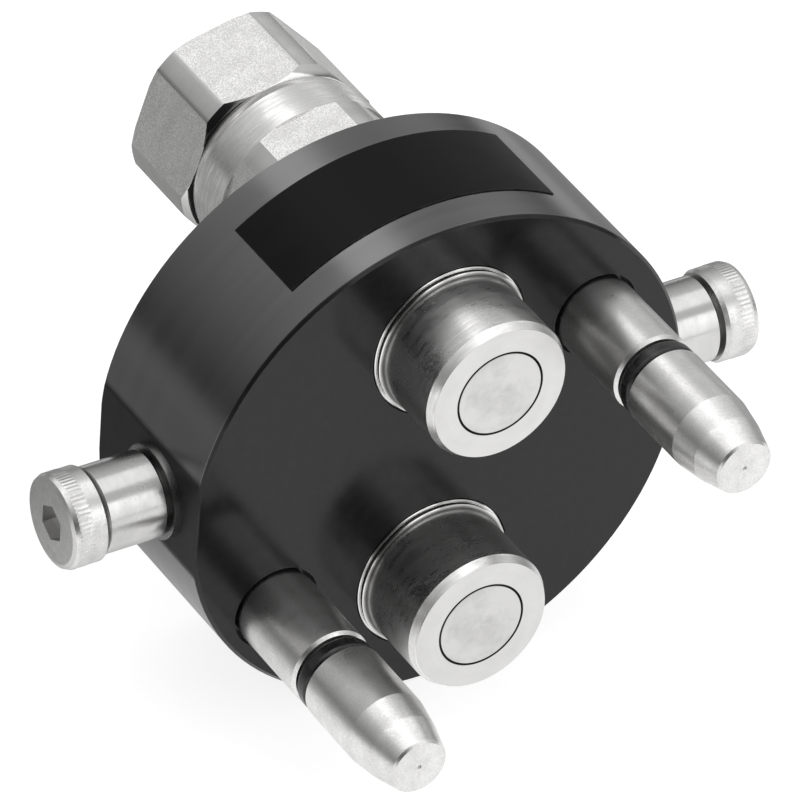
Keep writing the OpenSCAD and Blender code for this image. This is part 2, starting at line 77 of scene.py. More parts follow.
# How sharply one finish changes to the next, in metres.
SEAM = 0.00004
FINE_SEAM = 0.00003

# The two blacks of the plate's faces, the sheen of its turned side, and the roughness of its faces, flats
# and side.
FACE_BLACKS = ((0.013, 0.013, 0.0135, 1), (0.018, 0.018, 0.018, 1))
SIDE_SHEEN = (0.18, 0.2)
FACE_ROUGH = 0.14
FLAT_ROUGH = 0.5
SIDE_ROUGH = 0.2

# Knurl of the screw heads, in metres.
KNURL_RIDGES = 72
KNURL_PROUD = 0.00005
KNURL_WIDTH = 0.00054
KNURL_LENGTH = 0.0024

# Section of the thread's ridge: how deep its foot sits in the wall, its rounding, in metres, and the widths
# of its foot and crest as shares of the pitch.
RIDGE_SINK = 0.00006
RIDGE_ROUNDING = 0.00012
RIDGE_FOOT = 0.97
RIDGE_CREST = 0.22

# Angles over which an edge stays sharp, in degrees.
THREAD_SHARP = 22
SPRING_SHARP = 40

# Camera of the photo.
CAMERA_PLACE = (-0.588097, -0.879787, 0.818731)
CAMERA_TURN = (52.51491, -3.3951, -30.82292)
CAMERA_LENS = 429.448

# Light of the studio, where 1 is white: the room low down and high up, on its right and in its pale
# stretch, the two lamps, the floor to the camera, and the floor's painted glow, seen only in the metal, in
# front of and far behind the plate.
ROOM_LOW = 0.08
ROOM_HIGH = 0.65
ROOM_RIGHT = 0.3
ROOM_BAND = 0.8
BAND_EDGE_X = -0.185
CAMERA_SIDE = (-0.53, -0.74, 0.41)
OVERHEAD = {"place": (0.0, 0.075, 0.8), "size": (1.3, 0.62), "radiance": 0.52}
WINDOW = {"place": (0.40, -0.74, 0.34), "size": (0.45, 0.7), "radiance": 0.95}
FLOOR_REACH = 3.0
FLOOR_COLOUR = 0.38
FLOOR_SEEN = 0.82
FLOOR_PAINTED_GLOW_FRONT = 0.85
FLOOR_PAINTED_GLOW_FAR_LEFT = 0.1
FLOOR_PAINTED_GLOW_FAR_RIGHT = 0.45


# Node helpers


def lay(tree, kind, feeds=None, **settings):
    """A new node: settings are its properties, feeds its inputs, each a value or another node's socket."""
    node = tree.nodes.new(kind)
    for name, value in settings.items():
        setattr(node, name, value)
    for name, value in (feeds or {}).items():
        if isinstance(value, bpy.types.NodeSocket):
            tree.links.new(value, node.inputs[name])
        else:
            node.inputs[name].default_value = value
    return node


def calc(tree, what, *values):
    return lay(tree, "ShaderNodeMath", dict(enumerate(values)), operation=what).outputs[0]


def spread(tree, value, low, high, to_low=0.0, to_high=1.0):
    """The value's stretch from low to high, drawn out from to_low to to_high."""
    feeds = {"Value": value, "From Min": low, "From Max": high, "To Min": to_low, "To Max": to_high}
    return lay(tree, "ShaderNodeMapRange", feeds).outputs["Result"]


def noise(tree, where, scale, detail=2.0, rough=0.5):
    feeds = {"Vector": where, "Scale": scale, "Detail": detail, "Roughness": rough}
    return lay(tree, "ShaderNodeTexNoise", feeds).outputs["Fac"]


def vector_of(tree, x, y, z):
    return lay(tree, "ShaderNodeCombineXYZ", {0: x, 1: y, 2: z}).outputs[0]


def parts_of(tree, where):
    return lay(tree, "ShaderNodeSeparateXYZ", {0: where}).outputs


def radius_of(tree, where):
    """The distance from the Y axis."""
    x, y, z = parts_of(tree, where)
    squares = calc(tree, "ADD", calc(tree, "MULTIPLY", x, x), calc(tree, "MULTIPLY", z, z))
    return calc(tree, "SQRT", squares)


def blend(tree, share, first, second):
    return lay(tree, "ShaderNodeMix", {0: share, 2: first, 3: second}, data_type="FLOAT").outputs[0]


def blend_colours(tree, share, first, second):
    mix = lay(tree, "ShaderNodeMix", data_type="RGBA")
    for socket, value in ((mix.inputs[0], share), (mix.inputs[6], first), (mix.inputs[7], second)):
        if isinstance(value, bpy.types.NodeSocket):
            tree.links.new(value, socket)
        else:
            socket.default_value = value
    return mix.outputs[2]


def shader_group(name, inputs, outputs):
    """An empty group with a vector and further number inputs, and number outputs."""
    group = bpy.data.node_groups.new(name, "ShaderNodeTree")
    group.interface.new_socket("Vector", in_out="INPUT", socket_type="NodeSocketVector")
    for label, value in inputs.items():
        group.interface.new_socket(label, in_out="INPUT", socket_type="NodeSocketFloat").default_value = value
    for label in outputs:
        group.interface.new_socket(label, in_out="OUTPUT", socket_type="NodeSocketFloat")
    return group, group.nodes.new("NodeGroupInput").outputs, group.nodes.new("NodeGroupOutput").inputs


# Effects that several finishes share


def make_lathe_lines():
    """Lines that the lathe leaves: rings on a face and hoops on a side, both about the Y axis.
    Breaks is how often a line fades and starts again on its way round."""
    group, given, result = shader_group("lathe_lines", {"Pitch": 0.0004, "Breaks": 1.0}, ["Height", "Sheen"])
    x, y, z = parts_of(group, given["Vector"])
    radius = radius_of(group, given["Vector"])
    lines = calc(group, "DIVIDE", calc(group, "ADD", y, radius), given["Pitch"])
    reach = calc(group, "DIVIDE", calc(group, "MAXIMUM", radius, 1e-5), given["Breaks"])
    side = calc(group, "DIVIDE", x, reach)
    rise = calc(group, "DIVIDE", z, reach)
    fine = noise(group, vector_of(group, lines, side, rise), 1.0, 3.0, 0.6)
    bands = calc(group, "MULTIPLY", lines, 0.15)
    broad = noise(group, vector_of(group, bands, side, rise), 1.3, 2.0, 0.55)
    group.links.new(fine, result["Height"])
    group.links.new(spread(group, broad, 0.3, 0.7), result["Sheen"])
    return group


def make_plating_grain():
    """The fine grain and the cloudy patches of a tumbled and plated surface."""
    group, given, result = shader_group("plating_grain", {"Size": 0.0003}, ["Height", "Cloud"])
    per_grain = calc(group, "DIVIDE", 1.0, given["Size"])
    grain = noise(group, given["Vector"], per_grain, 3.0, 0.6)
    cloud = noise(group, given["Vector"], calc(group, "MULTIPLY", per_grain, 0.08), 4.0, 0.6)
    group.links.new(grain, result["Height"])
    group.links.new(spread(group, cloud, 0.32, 0.68), result["Cloud"])
    return group


def make_handling_marks():
    """Sparse hairline scratches in two directions."""
    group, given, result = shader_group("handling_marks", {"Length": 0.006, "Width": 0.0004}, ["Mask"])
    per_length = calc(group, "DIVIDE", 1.0, given["Length"])
    per_width = calc(group, "DIVIDE", 1.0, given["Width"])
    patches = noise(group, given["Vector"], calc(group, "MULTIPLY", per_length, 0.9), 2.0)
    patches = spread(group, patches, 0.5, 0.62)
    found = None
    for turn in ((0.5, 0.4, 0.9), (-0.7, 0.3, -0.5)):
        feeds = {"Vector": given["Vector"], "Rotation": turn}
        turned = lay(group, "ShaderNodeVectorRotate", feeds, rotation_type="EULER_XYZ").outputs[0]
        stretch = vector_of(group, per_length, per_width, per_width)
        drawn = lay(group, "ShaderNodeVectorMath", {0: turned, 1: stretch}, operation="MULTIPLY").outputs[0]
        line = calc(group, "ABSOLUTE", calc(group, "SUBTRACT", noise(group, drawn, 1.0, 0.0), 0.5))
        line = spread(group, line, 0.012, 0.002)
        found = line if found is None else calc(group, "MAXIMUM", found, line)
    group.links.new(calc(group, "MULTIPLY", found, patches), result["Mask"])
    return group


def make_rubbed_edges():
    """Where two faces meet, for coats that wear thin there."""
    group, given, result = shader_group("rubbed_edges", {"Patchiness": 300.0}, ["Mask"])
    soft = lay(group, "ShaderNodeBevel", {"Radius": 0.00035}, samples=6).outputs[0]
    plain = lay(group, "ShaderNodeNewGeometry").outputs["Normal"]
    likeness = lay(group, "ShaderNodeVectorMath", {0: soft, 1: plain}, operation="DOT_PRODUCT").outputs["Value"]
    edge = spread(group, likeness, 0.98, 0.86)
    patches = spread(group, noise(group, given["Vector"], given["Patchiness"], 3.0, 0.6), 0.42, 0.62)
    group.links.new(calc(group, "MULTIPLY", edge, patches), result["Mask"])
    return group


LATHE_LINES = make_lathe_lines()
PLATING_GRAIN = make_plating_grain()
HANDLING_MARKS = make_handling_marks()
RUBBED_EDGES = make_rubbed_edges()


def place_effect(tree, group, where, **values):
    """A shared effect with its own values: returns its outputs."""
    node = lay(tree, "ShaderNodeGroup", None, node_tree=group)
    tree.links.new(where, node.inputs["Vector"])
    for name, value in values.items():
        node.inputs[name].default_value = value
    return node.outputs


# Finishes

SIDEWAYS = "X"
THROUGH = "Y"
TUMBLED = {"light": 1.0, "dark": 0.7, "smooth": 0.4, "dull": 0.52, "grain": 0.0002, "grain_depth": 1e-6,
           "speckle": 6.0, "clouds": 0.3, "line_depth": 1e-7}
TURNED_CORNER = {"light": 0.82, "dark": 0.68, "smooth": 0.2, "dull": 0.28,
                 "grain_depth": 2e-7, "line_depth": 2e-7}


def start_finish(name, centre, axis):
    """A material with its Principled shader and the object coordinates moved so that the turning axis is Y."""
    material = bpy.data.materials.new(name)
    material.use_nodes = True
    tree = material.node_tree
    shader = tree.nodes["Principled BSDF"]
    if axis == SIDEWAYS:
        feeds = {"Location": (centre[1], -centre[0], -centre[2]), "Rotation": (0.0, 0.0, math.pi / 2)}
    else:
        feeds = {"Location": tuple(-value for value in centre)}
    where = lay(tree, "ShaderNodeMapping", feeds)
    tree.links.new(lay(tree, "ShaderNodeTexCoord").outputs["Object"], where.inputs["Vector"])
    return material, tree, shader, where.outputs["Vector"]


def roughen(tree, shader, height):
    """A height in metres becomes the shader's normal."""
    bump = lay(tree, "ShaderNodeBump", {"Height": height, "Distance": 1.0, "Strength": 1.0})
    tree.links.new(bump.outputs["Normal"], shader.inputs["Normal"])


def grey(value):
    """A plated steel's grey, very slightly warm."""
    return (value, value * 0.995, value * 0.985, 1)


def metal_layer(tree, where, light=0.7, dark=0.6, smooth=0.2, dull=0.3, pitch=0.0004, breaks=1.0, strokes=0.0,
                line_depth=6e-7, grain=0.0003, grain_depth=4e-7, speckle=0.0, clouds=0.6, marks=0.4):
    """Colour, roughness and height of one kind of plated steel. Light and dark are its greys, smooth and dull
    its roughness. Strokes, speckle and clouds say how strongly the lathe lines, the grain and the patches
    show in its colour, marks how strongly the scratches show."""
    lines = place_effect(tree, LATHE_LINES, where, Pitch=pitch, Breaks=breaks)
    plating = place_effect(tree, PLATING_GRAIN, where, Size=grain)
    scratch = place_effect(tree, HANDLING_MARKS, where)["Mask"]
    sheen = calc(tree, "MULTIPLY", lines["Sheen"], 0.4)
    tone = calc(tree, "ADD", calc(tree, "MULTIPLY", plating["Cloud"], clouds), sheen)
    for height, strength in ((lines["Height"], strokes), (plating["Height"], speckle)):
        if strength:
            swing = calc(tree, "MULTIPLY", calc(tree, "SUBTRACT", height, 0.5), strength)
            tone = calc(tree, "ADD", tone, swing)
    colour = blend_colours(tree, tone, grey(dark), grey(light))
    rough = spread(tree, tone, 0.0, 1.0, dull, smooth)
    rough = calc(tree, "ADD", rough, calc(tree, "MULTIPLY", scratch, 0.25 * marks))
    height = calc(tree, "MULTIPLY", lines["Height"], line_depth * 10)
    height = calc(tree, "ADD", height, calc(tree, "MULTIPLY", plating["Height"], grain_depth * 10))
    height = calc(tree, "SUBTRACT", height, calc(tree, "MULTIPLY", scratch, 4e-6 * marks))
    return colour, rough, height


def end_metal(tree, shader, layer):
    colour, rough, height = layer
    tree.links.new(colour, shader.inputs["Base Color"])
    tree.links.new(rough, shader.inputs["Roughness"])
    shader.inputs["Metallic"].default_value = 1.0
    roughen(tree, shader, height)


def steel(name, centre=(0, 0, 0), axis=THROUGH, **values):
    """A piece of plated steel that looks the same all over."""
    material, tree, shader, where = start_finish(name, centre, axis)
    end_metal(tree, shader, metal_layer(tree, where, **values))
    return material


def mix_layers(tree, share, first, second):
    return (blend_colours(tree, share, first[0], second[0]), blend(tree, share, first[1], second[1]),
            blend(tree, share, first[2], second[2]))


def change_at(tree, y, place, before, after):
    """One metal layer up to a place along Y and the other behind it."""
    return mix_layers(tree, spread(tree, y, place - SEAM, place + SEAM), before, after)


def close_to(tree, off):
    """1 where a distance is next to nothing, 0 beyond a hair's breadth."""
    return spread(tree, calc(tree, "ABSOLUTE", off), FINE_SEAM, 2 * FINE_SEAM, 1.0, 0.0)


def hexagon_metal(tree, where):
    """A hexagon's speckled flats, with smoother stripes where its corners are turned down."""
    corner = close_to(tree, calc(tree, "SUBTRACT", radius_of(tree, where), HEX_CORNER_R))
    flats = metal_layer(tree, where, **TUMBLED)
    return mix_layers(tree, corner, flats, metal_layer(tree, where, **TURNED_CORNER))


def paint_gap_shade(tree, where, layer):
    """Painted shade: a fine dark line painted on the flat face over the gap between the poppet and its bore."""
    off = calc(tree, "ABSOLUTE", calc(tree, "SUBTRACT", radius_of(tree, where), POPPET_GAP_R))
    near = spread(tree, parts_of(tree, where)[1], NOSE_FACE_Y + 0.0003, NOSE_FACE_Y + 0.0005, 1.0, 0.0)
    share = calc(tree, "MULTIPLY", spread(tree, off, 0.00013, 0.00022, 1.0, 0.0), near)
    # Painted shade of the gap: near black, blended in over the face's own steel.
    colour = blend_colours(tree, share, layer[0], (0.02, 0.02, 0.02, 1))
    return colour, blend(tree, share, layer[1], 0.6), layer[2]


def flat_face(tree, where, light=0.7, dark=0.63, clouds=0.6):
    """The ground face of a nose or a poppet."""
    return metal_layer(tree, where, light=light, dark=dark, smooth=0.28, dull=0.34, pitch=0.0003,
                       line_depth=2e-7, grain=0.0004, grain_depth=1e-7, clouds=clouds, marks=0.3)


def coupler_steel(name, centre):
    """The coupler body: ground face, bright turned nose, speckled hexagon and roughly turned collar."""
    material, tree, shader, where = start_finish(name, centre, THROUGH)
    y = parts_of(tree, where)[1]
    nose = metal_layer(tree, where, light=0.9, dark=0.6, smooth=0.22, dull=0.4, pitch=0.0006,
                       breaks=2.0, strokes=1.6, line_depth=4e-7, grain=0.0005, grain_depth=1e-7, marks=0.8)
    flats = hexagon_metal(tree, where)
    collar = metal_layer(tree, where, light=1.0, dark=0.76, smooth=0.22, dull=0.4, pitch=0.00035, breaks=3.0,
                         strokes=3.0, line_depth=9e-7, grain=0.0003, grain_depth=3e-7)
    layer = change_at(tree, y, NOSE_FACE_Y + 0.0001, flat_face(tree, where), nose)
    layer = change_at(tree, y, HEX_START_Y, layer, flats)
    layer = change_at(tree, y, COLLAR_START_Y, layer, collar)
    end_metal(tree, shader, paint_gap_shade(tree, where, layer))
    return material


def port_steel(name, centre):
    """The port end: speckled flats, and a front chamfer that is turned bright."""
    material, tree, shader, where = start_finish(name, centre, THROUGH)
    flats = hexagon_metal(tree, where)
    chamfer = metal_layer(tree, where, smooth=0.08, dull=0.14, line_depth=1e-7, grain_depth=1e-7)
    back = calc(tree, "SUBTRACT", parts_of(tree, where)[1], PORT_HEX_START_Y)
    out = calc(tree, "SUBTRACT", radius_of(tree, where), HEX_HALF)
    off = calc(tree, "SUBTRACT", out, calc(tree, "DIVIDE", back, CHAMFER_SLOPE))
    end_metal(tree, shader, mix_layers(tree, close_to(tree, off), flats, chamfer))
    return material


def valve_steel(name, centre):
    """The poppet: ground face, plainly turned behind it."""
    material, tree, shader, where = start_finish(name, centre, THROUGH)
    face = flat_face(tree, where, 0.64, 0.48, 1.0)
    stem = metal_layer(tree, where, light=0.68, dark=0.56, pitch=0.00025, line_depth=3e-7,
                       grain_depth=2e-7, marks=0.3)
    layer = change_at(tree, parts_of(tree, where)[1], NOSE_FACE_Y + 0.0002, face, stem)
    end_metal(tree, shader, paint_gap_shade(tree, where, layer))
    return material


def ring_steel(name, centre):
    """The spiral ring: bright round its outside, with painted shade on the inner part of its face where it
    meets the body.
    """
    material, tree, shader, where = start_finish(name, centre, THROUGH)
    bright = metal_layer(tree, where, light=0.8, dark=0.7, smooth=0.14, dull=0.22, pitch=0.0002,
                         line_depth=2e-7, grain_depth=1e-7, marks=0.1)
    # Painted shade: a dark copy of the ring's steel for the inner part of its face.
    dim = metal_layer(tree, where, light=0.2, dark=0.1, smooth=0.3, dull=0.4, pitch=0.0002, line_depth=2e-7)
    outward = spread(tree, radius_of(tree, where), RING_FACE_R - 0.0005, RING_FACE_R - 0.0001)
    end_metal(tree, shader, mix_layers(tree, outward, dim, bright))
    return material


def black_anodising():
    """Black anodising on the aluminium plate: milled faces and flats, a turned side with a harder sheen,
    rubbed grey on a few edges."""
    material, tree, shader, where = start_finish("black_anodising", (0, 0, 0), THROUGH)
    lines = place_effect(tree, LATHE_LINES, where, Pitch=0.00045)
    plating = place_effect(tree, PLATING_GRAIN, where, Size=0.00016)
    worn = place_effect(tree, RUBBED_EDGES, where)["Mask"]
    x, y, _ = parts_of(tree, where)
    off_side = calc(tree, "ABSOLUTE", x)
    off_middle = calc(tree, "ABSOLUTE", calc(tree, "SUBTRACT", y, PLATE_T / 2))
    turned_end = PLATE_T / 2 - PLATE_EDGE
    flat = spread(tree, off_side, FLAT_X - 0.0003, FLAT_X - 0.0001)
    side = calc(tree, "MULTIPLY", calc(tree, "SUBTRACT", 1.0, flat),
                spread(tree, radius_of(tree, where), PLATE_R - 0.0006, PLATE_R - 0.0004))
    side = calc(tree, "MULTIPLY", side, spread(tree, off_middle, turned_end, turned_end + 0.0001, 1.0, 0.0))
    colour = blend_colours(tree, plating["Cloud"], *FACE_BLACKS)
    sheen = spread(tree, lines["Sheen"], 0.0, 1.0, *SIDE_SHEEN)
    sheen = lay(tree, "ShaderNodeCombineColor", {0: sheen, 1: sheen, 2: sheen}).outputs[0]
    colour = blend_colours(tree, side, colour, sheen)
    colour = blend_colours(tree, calc(tree, "MULTIPLY", worn, 0.2), colour, (0.3, 0.3, 0.3, 1))
    tree.links.new(colour, shader.inputs["Base Color"])
    tree.links.new(side, shader.inputs["Metallic"])
    rough = blend(tree, side, blend(tree, flat, FACE_ROUGH, FLAT_ROUGH), SIDE_ROUGH)
    rough = calc(tree, "ADD", rough, calc(tree, "MULTIPLY", lines["Sheen"], 0.04))
    tree.links.new(rough, shader.inputs["Roughness"])
    shader.inputs["IOR"].default_value = 1.36
    height = calc(tree, "MULTIPLY", lines["Height"], 6e-7)
    height = calc(tree, "ADD", height, calc(tree, "MULTIPLY", plating["Height"], 7e-7))
    roughen(tree, shader, height)
    return material


def label_film():
    """Thin matt black film, with the slight waves of a sticker on a curve and a paler cut edge."""
    material, tree, shader, where = start_finish("label_film", (0, 0, 0), THROUGH)
    waves = noise(tree, where, 260.0, 2.0)
    grain = noise(tree, where, 9000.0, 2.0)
    worn = place_effect(tree, RUBBED_EDGES, where, Patchiness=900.0)["Mask"]
    colour = blend_colours(tree, waves, (0.005, 0.005, 0.0052, 1), (0.008, 0.008, 0.0082, 1))
    colour = blend_colours(tree, calc(tree, "MULTIPLY", worn, 0.4), colour, (0.09, 0.09, 0.085, 1))
    tree.links.new(colour, shader.inputs["Base Color"])
    shader.inputs["IOR"].default_value = 1.18
    tree.links.new(spread(tree, waves, 0.3, 0.7, 0.34, 0.42), shader.inputs["Roughness"])
    height = calc(tree, "ADD", calc(tree, "MULTIPLY", waves, 1.2e-5), calc(tree, "MULTIPLY", grain, 8e-7))
    roughen(tree, shader, height)
    return material


def rubber(name):
    """Black rubber, with a little pale dust."""
    material, tree, shader, where = start_finish(name, (0, 0, 0), THROUGH)
    dust = noise(tree, where, 700.0, 4.0, 0.65)
    fine = noise(tree, where, 6000.0, 2.0)
    dusty = spread(tree, dust, 0.45, 0.75)
    colour = blend_colours(tree, dusty, (0.009, 0.009, 0.009, 1), (0.03, 0.03, 0.029, 1))
    tree.links.new(colour, shader.inputs["Base Color"])
    tree.links.new(spread(tree, dust, 0.3, 0.7, 0.22, 0.36), shader.inputs["Roughness"])
    roughen(tree, shader, calc(tree, "MULTIPLY", fine, 2e-6))
    return material


def pale_plastic():
    """The back-up rings' cloudy plastic."""
    material, tree, shader, where = start_finish("backup_plastic", (0, 0, 0), THROUGH)
    cloud = noise(tree, where, 400.0, 3.0)
    colour = blend_colours(tree, cloud, (0.62, 0.59, 0.5, 1), (0.7, 0.67, 0.58, 1))
    tree.links.new(colour, shader.inputs["Base Color"])
    tree.links.new(spread(tree, cloud, 0.3, 0.7, 0.42, 0.52), shader.inputs["Roughness"])
    roughen(tree, shader, calc(tree, "MULTIPLY", noise(tree, where, 5000.0), 1.5e-6))
    return material


def dress():
    """Every node gets the finish of its own piece, centred on the axis it was turned about."""
    finishes = {}
    for name, height in (("upper", COUPLER_Z), ("lower", -COUPLER_Z)):
        centre = (0, 0, height)
        finishes[name + "_coupler_body"] = coupler_steel(name + "_body_plating", centre)
        finishes[name + "_port_end"] = port_steel(name + "_port_plating", centre)
        finishes[name + "_poppet"] = valve_steel(name + "_valve_steel", centre)
        finishes[name + "_snap_ring"] = ring_steel(name + "_ring_steel", centre)
        finishes[name + "_spring_guide"] = steel(name + "_guide_steel", centre, light=0.6, dark=0.5)
        finishes[name + "_valve_spring"] = steel(
            name + "_spring_wire", centre, light=0.45, dark=0.35, smooth=0.28, dull=0.36,
            line_depth=0.0, grain=0.0002)
        for part in ("_poppet_seal", "_port_o_ring", "_body_ring"):
            finishes[name + part] = rubber(name + part + "_rubber")
    finishes["upper_backup_ring"] = finishes["lower_backup_ring"] = pale_plastic()
    finishes["plate"] = black_anodising()
    finishes["label"] = label_film()
    for name, centre in (("left", LEFT_PIN), ("right", RIGHT_PIN)):
        finishes[name + "_guide_pin"] = steel(
            name + "_pin_plating", centre, light=0.84, dark=0.64, smooth=0.26, dull=0.38,
            pitch=0.0005, line_depth=2e-7, grain=0.00025, grain_depth=1e-7,
            speckle=2.0, clouds=0.4, marks=0.5)
    finishes["guide_pin_rings"] = rubber("pin_ring_rubber")
    across = (0, ROLLER_Y, 0)
    roller = steel("roller_plating", across, SIDEWAYS, light=0.62, dark=0.54, smooth=0.16, dull=0.26,
                   pitch=0.0004, breaks=2.0, strokes=0.6, line_depth=3e-7, grain_depth=2e-7)
    finishes["left_roller"] = finishes["right_roller"] = roller
    finishes["roller_screws"] = steel(
        "screw_plating", across, SIDEWAYS, light=0.76, dark=0.58, smooth=0.24, dull=0.4,
        pitch=0.0003, line_depth=2e-7, grain=0.0003, grain_depth=7e-7, speckle=1.5, marks=0.6)
    finishes["roller_washers"] = steel(
        "washer_plating", across, SIDEWAYS, light=0.34, dark=0.16, smooth=0.2, dull=0.4, strokes=2.0)
    oxide = steel("black_oxide", light=0.07, dark=0.045, smooth=0.34, dull=0.46, line_depth=1e-7, marks=0.5)
    finishes["pin_screws"] = finishes["pin_lock_washers"] = oxide
    for name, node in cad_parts.items():
        for slot in node.material_slots:
            slot.material = finishes[name]
    return finishes


# Detail made by Geometry Nodes


def geometry_tree(name, inputs):
    tree = bpy.data.node_groups.new(name, "GeometryNodeTree")
    tree.interface.new_socket("Geometry", in_out="INPUT", socket_type="NodeSocketGeometry")
    kinds = {type(None): "NodeSocketMaterial", int: "NodeSocketInt", float: "NodeSocketFloat"}
    for label, value in inputs.items():
        socket = tree.interface.new_socket(label, in_out="INPUT", socket_type=kinds[type(value)])
        if value is not None:
            socket.default_value = value
    tree.interface.new_socket("Geometry", in_out="OUTPUT", socket_type="NodeSocketGeometry")
    return tree, tree.nodes.new("NodeGroupInput").outputs, tree.nodes.new("NodeGroupOutput").inputs


def end_tree(tree, geometry, material, result):
    whole = lay(tree, "GeometryNodeRealizeInstances", {0: geometry})
    painted = lay(tree, "GeometryNodeSetMaterial", {"Geometry": whole.outputs[0], "Material": material})
    tree.links.new(painted.outputs[0], result[0])


def grow(name, tree, values):
    """A plain mesh object made by a tree with these input values."""
    maker = bpy.data.objects.new(name + "_maker", bpy.data.meshes.new(name + "_maker"))
    bpy.context.scene.collection.objects.link(maker)
    modifier = maker.modifiers.new("shape", "NODES")
    modifier.node_group = tree
    for item in tree.interface.items_tree:
        if item.in_out == "INPUT" and item.name in values:
            modifier[item.identifier] = values[item.name]
    bpy.context.view_layer.update()
    mesh = bpy.data.meshes.new_from_object(maker.evaluated_get(bpy.context.evaluated_depsgraph_get()))
    mesh.name = name
    bpy.data.objects.remove(maker)
    shape = bmesh.new()
    shape.from_mesh(mesh)
    bmesh.ops.remove_doubles(shape, verts=shape.verts, dist=1e-7)
    bmesh.ops.recalc_face_normals(shape, faces=shape.faces)
    shape.to_mesh(mesh)
    shape.free()
    return mesh


def make_thread_tree():
    """A helical ridge along Y, as the wall between the grooves of an inside thread."""
    inputs = {"Pitch": 0.002, "Turns": 7.0, "Root Radius": 0.01, "Crest Radius": 0.009,
              "Start": 0.0, "Height": 0.0, "Material": None}
    tree, given, result = geometry_tree("hose_thread", inputs)
    length = calc(tree, "MULTIPLY", given["Pitch"], given["Turns"])
    feeds = {"Resolution": 80, "Rotations": given["Turns"], "Start Radius": given["Root Radius"],
             "End Radius": given["Root Radius"], "Height": length}
    helix = lay(tree, "GeometryNodeCurveSpiral", feeds).outputs[0]
    upright = lay(tree, "GeometryNodeSetCurveNormal", {"Curve": helix}, mode="Z_UP").outputs[0]
    along = lay(tree, "GeometryNodeSplineParameter").outputs["Factor"]
    back = calc(tree, "SUBTRACT", 1.0, along)
    run_out = calc(tree, "MULTIPLY", given["Turns"], 3.0)
    run_out = calc(tree, "MULTIPLY", calc(tree, "MINIMUM", along, back), run_out)
    run_out = calc(tree, "MAXIMUM", calc(tree, "MINIMUM", run_out, 1.0), 0.03)
    depth = calc(tree, "SUBTRACT", given["Root Radius"], given["Crest Radius"])
    tall = calc(tree, "ADD", depth, RIDGE_SINK)
    feeds = {"Height": tall, "Bottom Width": calc(tree, "MULTIPLY", given["Pitch"], RIDGE_FOOT),
             "Top Width": calc(tree, "MULTIPLY", given["Pitch"], RIDGE_CREST), "Offset": 0.0}
    ridge = lay(tree, "GeometryNodeCurvePrimitiveQuadrilateral", feeds, mode="TRAPEZOID").outputs[0]
    feeds = {"Curve": ridge, "Count": 3, "Radius": RIDGE_ROUNDING}
    ridge = lay(tree, "GeometryNodeFilletCurve", feeds, mode="POLY").outputs[0]
    middle = calc(tree, "SUBTRACT", RIDGE_SINK, calc(tree, "MULTIPLY", tall, 0.5))
    feeds = {"Geometry": ridge, "Translation": vector_of(tree, middle, 0.0, 0.0),
             "Rotation": (0.0, 0.0, math.pi / 2)}
    ridge = lay(tree, "GeometryNodeTransform", feeds).outputs[0]
    swept = lay(tree, "GeometryNodeCurveToMesh", {"Curve": upright, "Profile Curve": ridge, "Fill Caps": True})
    if "Scale" in swept.inputs:
        tree.links.new(run_out, swept.inputs["Scale"])
    else:
        sized = lay(tree, "GeometryNodeSetCurveRadius", {"Curve": upright, "Radius": run_out})
        tree.links.new(sized.outputs[0], swept.inputs["Curve"])
    place = vector_of(tree, 0.0, given["Start"], given["Height"])
    feeds = {"Geometry": swept.outputs[0], "Translation": place, "Rotation": (-math.pi / 2, 0.0, 0.0)}
    end_tree(tree, lay(tree, "GeometryNodeTransform", feeds).outputs[0], given["Material"], result)
    return tree


def make_knurl_tree():
    """Straight ridges round both screw heads, whose axis is X, each tapered at its ends."""
    inputs = {"Ridges": 60, "Radius": 0.0065, "Proud": 0.0001, "Width": 0.0006, "Length": 0.0035,
              "Head Distance": 0.05, "Axis Y": 0.0, "Material": None}
    tree, given, result = geometry_tree("head_knurl", inputs)
    feeds = {"Vertices": 4, "Side Segments": 8, "Radius": 1.0, "Depth": given["Length"]}
    bar = lay(tree, "GeometryNodeMeshCylinder", feeds)
    x, y, z = parts_of(tree, lay(tree, "GeometryNodeInputPosition").outputs[0])
    edge = calc(tree, "DIVIDE", calc(tree, "ABSOLUTE", z), calc(tree, "MULTIPLY", given["Length"], 0.5))
    taper = calc(tree, "SUBTRACT", 1.0, calc(tree, "MULTIPLY", calc(tree, "POWER", edge, 9.0), 0.9))
    half = calc(tree, "MULTIPLY", given["Width"], 0.5)
    lean = vector_of(tree, calc(tree, "MULTIPLY", calc(tree, "MULTIPLY", x, taper), given["Proud"]),
                     calc(tree, "MULTIPLY", calc(tree, "MULTIPLY", y, taper), half), z)
    ridge = lay(tree, "GeometryNodeSetPosition", {"Geometry": bar.outputs[0], "Position": lean}).outputs[0]
    points = lay(tree, "GeometryNodePoints", {"Count": given["Ridges"]}).outputs[0]
    number = lay(tree, "GeometryNodeInputIndex").outputs[0]
    angle = calc(tree, "DIVIDE", calc(tree, "MULTIPLY", number, math.tau), given["Ridges"])
    ring = vector_of(tree, calc(tree, "MULTIPLY", calc(tree, "COSINE", angle), given["Radius"]),
                     calc(tree, "MULTIPLY", calc(tree, "SINE", angle), given["Radius"]), 0.0)
    points = lay(tree, "GeometryNodeSetPosition", {"Geometry": points, "Position": ring}).outputs[0]
    feeds = {"Points": points, "Instance": ridge, "Rotation": vector_of(tree, 0.0, 0.0, angle)}
    head = lay(tree, "GeometryNodeInstanceOnPoints", feeds).outputs[0]
    both = lay(tree, "GeometryNodeJoinGeometry")
    for side in (-1.0, 1.0):
        place = vector_of(tree, calc(tree, "MULTIPLY", given["Head Distance"], side), given["Axis Y"], 0.0)
        feeds = {"Geometry": head, "Translation": place, "Rotation": (0.0, math.pi / 2, 0.0)}
        tree.links.new(lay(tree, "GeometryNodeTransform", feeds).outputs[0], both.inputs[0])
    end_tree(tree, both.outputs[0], given["Material"], result)
    return tree


